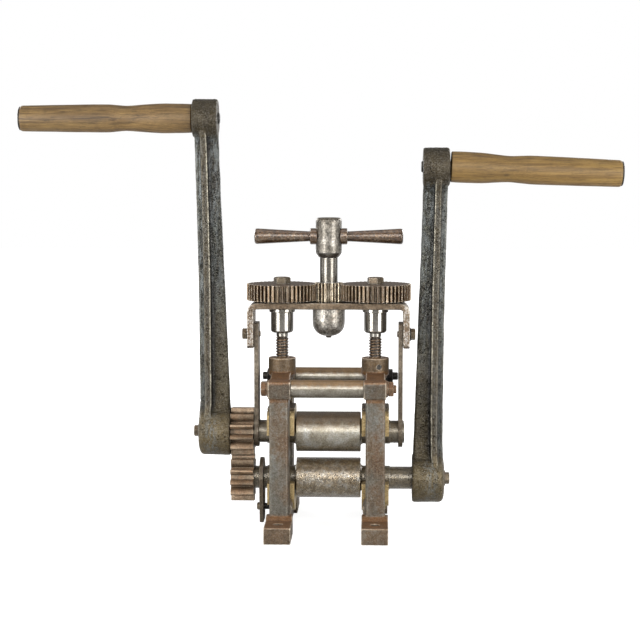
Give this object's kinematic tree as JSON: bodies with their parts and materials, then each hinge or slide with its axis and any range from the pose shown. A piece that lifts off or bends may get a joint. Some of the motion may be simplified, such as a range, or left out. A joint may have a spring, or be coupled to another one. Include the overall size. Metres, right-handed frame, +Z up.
{
  "type": "hand-cranked sheet rolling mill",
  "caption": "Bench rolling mill for sheet metal: geared steel rolls in open side frames, a crank at each end and a T handle that sets the roll gap through a geared bridge.",
  "frame": {"origin": "on the bench plane, midway between the side frames, directly below the roll and screw axes", "axes": "+X along the rolls towards the right crank, +Y to the back along the feet, +Z up"},
  "size_m": [0.7417, 0.236, 0.5278],
  "materials": {
    "frame_iron": "worn brown-grey cast iron",
    "crank_iron": "dark blue-grey cast iron with worn edges",
    "roll_steel": "ground steel with brown tarnish",
    "bright_steel": "turned bright steel",
    "gear_steel": "cut gear teeth with brown tarnish",
    "plate_steel": "pitted flat steel with brown tarnish",
    "fastener_steel": "dark tarnished steel",
    "brass": "dull yellow brass",
    "bronze": "dark bronze",
    "grip_wood": "oiled hardwood with open grain"
  },
  "bodies": {
    "frame": {"left_side_frame": "frame_iron", "right_side_frame": "frame_iron", "left_screw_nut": "bronze", "right_screw_nut": "bronze", "nut_lock_screws": "fastener_steel", "front_tie_spacer": "bright_steel", "rear_tie_spacer": "bright_steel", "tie_bolts": "fastener_steel", "tie_washers": "fastener_steel", "tie_nuts": "fastener_steel", "left_lower_bearing": "brass", "right_lower_bearing": "brass", "keeper_plate": "plate_steel", "keeper_spacer": "fastener_steel", "keeper_screw": "fastener_steel"},
    "bridge": {"bridge_plate": "plate_steel", "bridge_straps": "plate_steel", "ear_bolts": "fastener_steel", "ear_washers": "fastener_steel", "pinion_cup": "bright_steel", "left_upper_bearing": "brass", "right_upper_bearing": "brass", "pressure_pads": "fastener_steel"},
    "tee": {"tee_shaft": "bright_steel", "tee_bars": "gear_steel"},
    "left_screw": {"left_pressure_screw": "bright_steel", "left_screw_gear": "gear_steel", "left_gear_bolt": "fastener_steel", "screw_gear_key_left": "fastener_steel"},
    "right_screw": {"right_pressure_screw": "bright_steel", "right_screw_gear": "gear_steel", "right_gear_bolt": "fastener_steel", "screw_gear_key_right": "fastener_steel"},
    "upper_roll_set": {"upper_roll": "roll_steel", "upper_roll_gear": "gear_steel", "upper_roll_keys": "fastener_steel", "left_crank": "crank_iron", "left_crank_washer": "fastener_steel", "left_crank_bolt": "fastener_steel", "left_grip_spindle": "fastener_steel"},
    "lower_roll_set": {"lower_roll": "roll_steel", "lower_roll_gear": "gear_steel", "lower_roll_keys": "fastener_steel", "right_crank": "crank_iron", "right_crank_washer": "fastener_steel", "right_crank_bolt": "fastener_steel", "right_grip_spindle": "fastener_steel"},
    "left_grip_body": {"left_grip": "grip_wood"},
    "right_grip_body": {"right_grip": "grip_wood"}
  },
  "joints": [
    {"name": "bridge_slide", "type": "slide", "parent": "frame", "child": "bridge", "axis": [0, 0, 1], "range_m": [-0.0078, 0.0016]},
    {"name": "tee_spin", "type": "hinge", "parent": "bridge", "child": "tee", "pos_m": [0, 0, 0.36], "axis": [0, 0, 1], "range_deg": [-420, 2100]},
    {"name": "left_screw_spin", "type": "hinge", "parent": "bridge", "child": "left_screw", "pos_m": [-0.05775, 0, 0.25], "axis": [0, 0, 1], "range_deg": [-800, 160]},
    {"name": "right_screw_spin", "type": "hinge", "parent": "bridge", "child": "right_screw", "pos_m": [0.05775, 0, 0.25], "axis": [0, 0, 1], "range_deg": [-800, 160]},
    {"name": "lower_roll_spin", "type": "hinge", "parent": "frame", "child": "lower_roll_set", "pos_m": [0, 0, 0.059], "axis": [1, 0, 0], "continuous": true},
    {"name": "upper_roll_spin", "type": "hinge", "parent": "bridge", "child": "upper_roll_set", "pos_m": [0, 0, 0.117], "axis": [1, 0, 0], "continuous": true},
    {"name": "left_grip_spin", "type": "hinge", "parent": "upper_roll_set", "child": "left_grip_body", "pos_m": [-0.167, 0, 0.5045], "axis": [1, 0, 0], "continuous": true},
    {"name": "right_grip_spin", "type": "hinge", "parent": "lower_roll_set", "child": "right_grip_body", "pos_m": [0.148, 0, 0.4455], "axis": [0.9992, 0, -0.0401], "continuous": true}
  ],
  "couplings": [
    {"joint": "bridge_slide", "follows": "tee_spin", "m_per_rad": -0.00020889},
    {"joint": "left_screw_spin", "follows": "tee_spin", "ratio": -0.375},
    {"joint": "right_screw_spin", "follows": "tee_spin", "ratio": -0.375},
    {"joint": "upper_roll_spin", "follows": "lower_roll_spin", "ratio": -1}
  ]
}
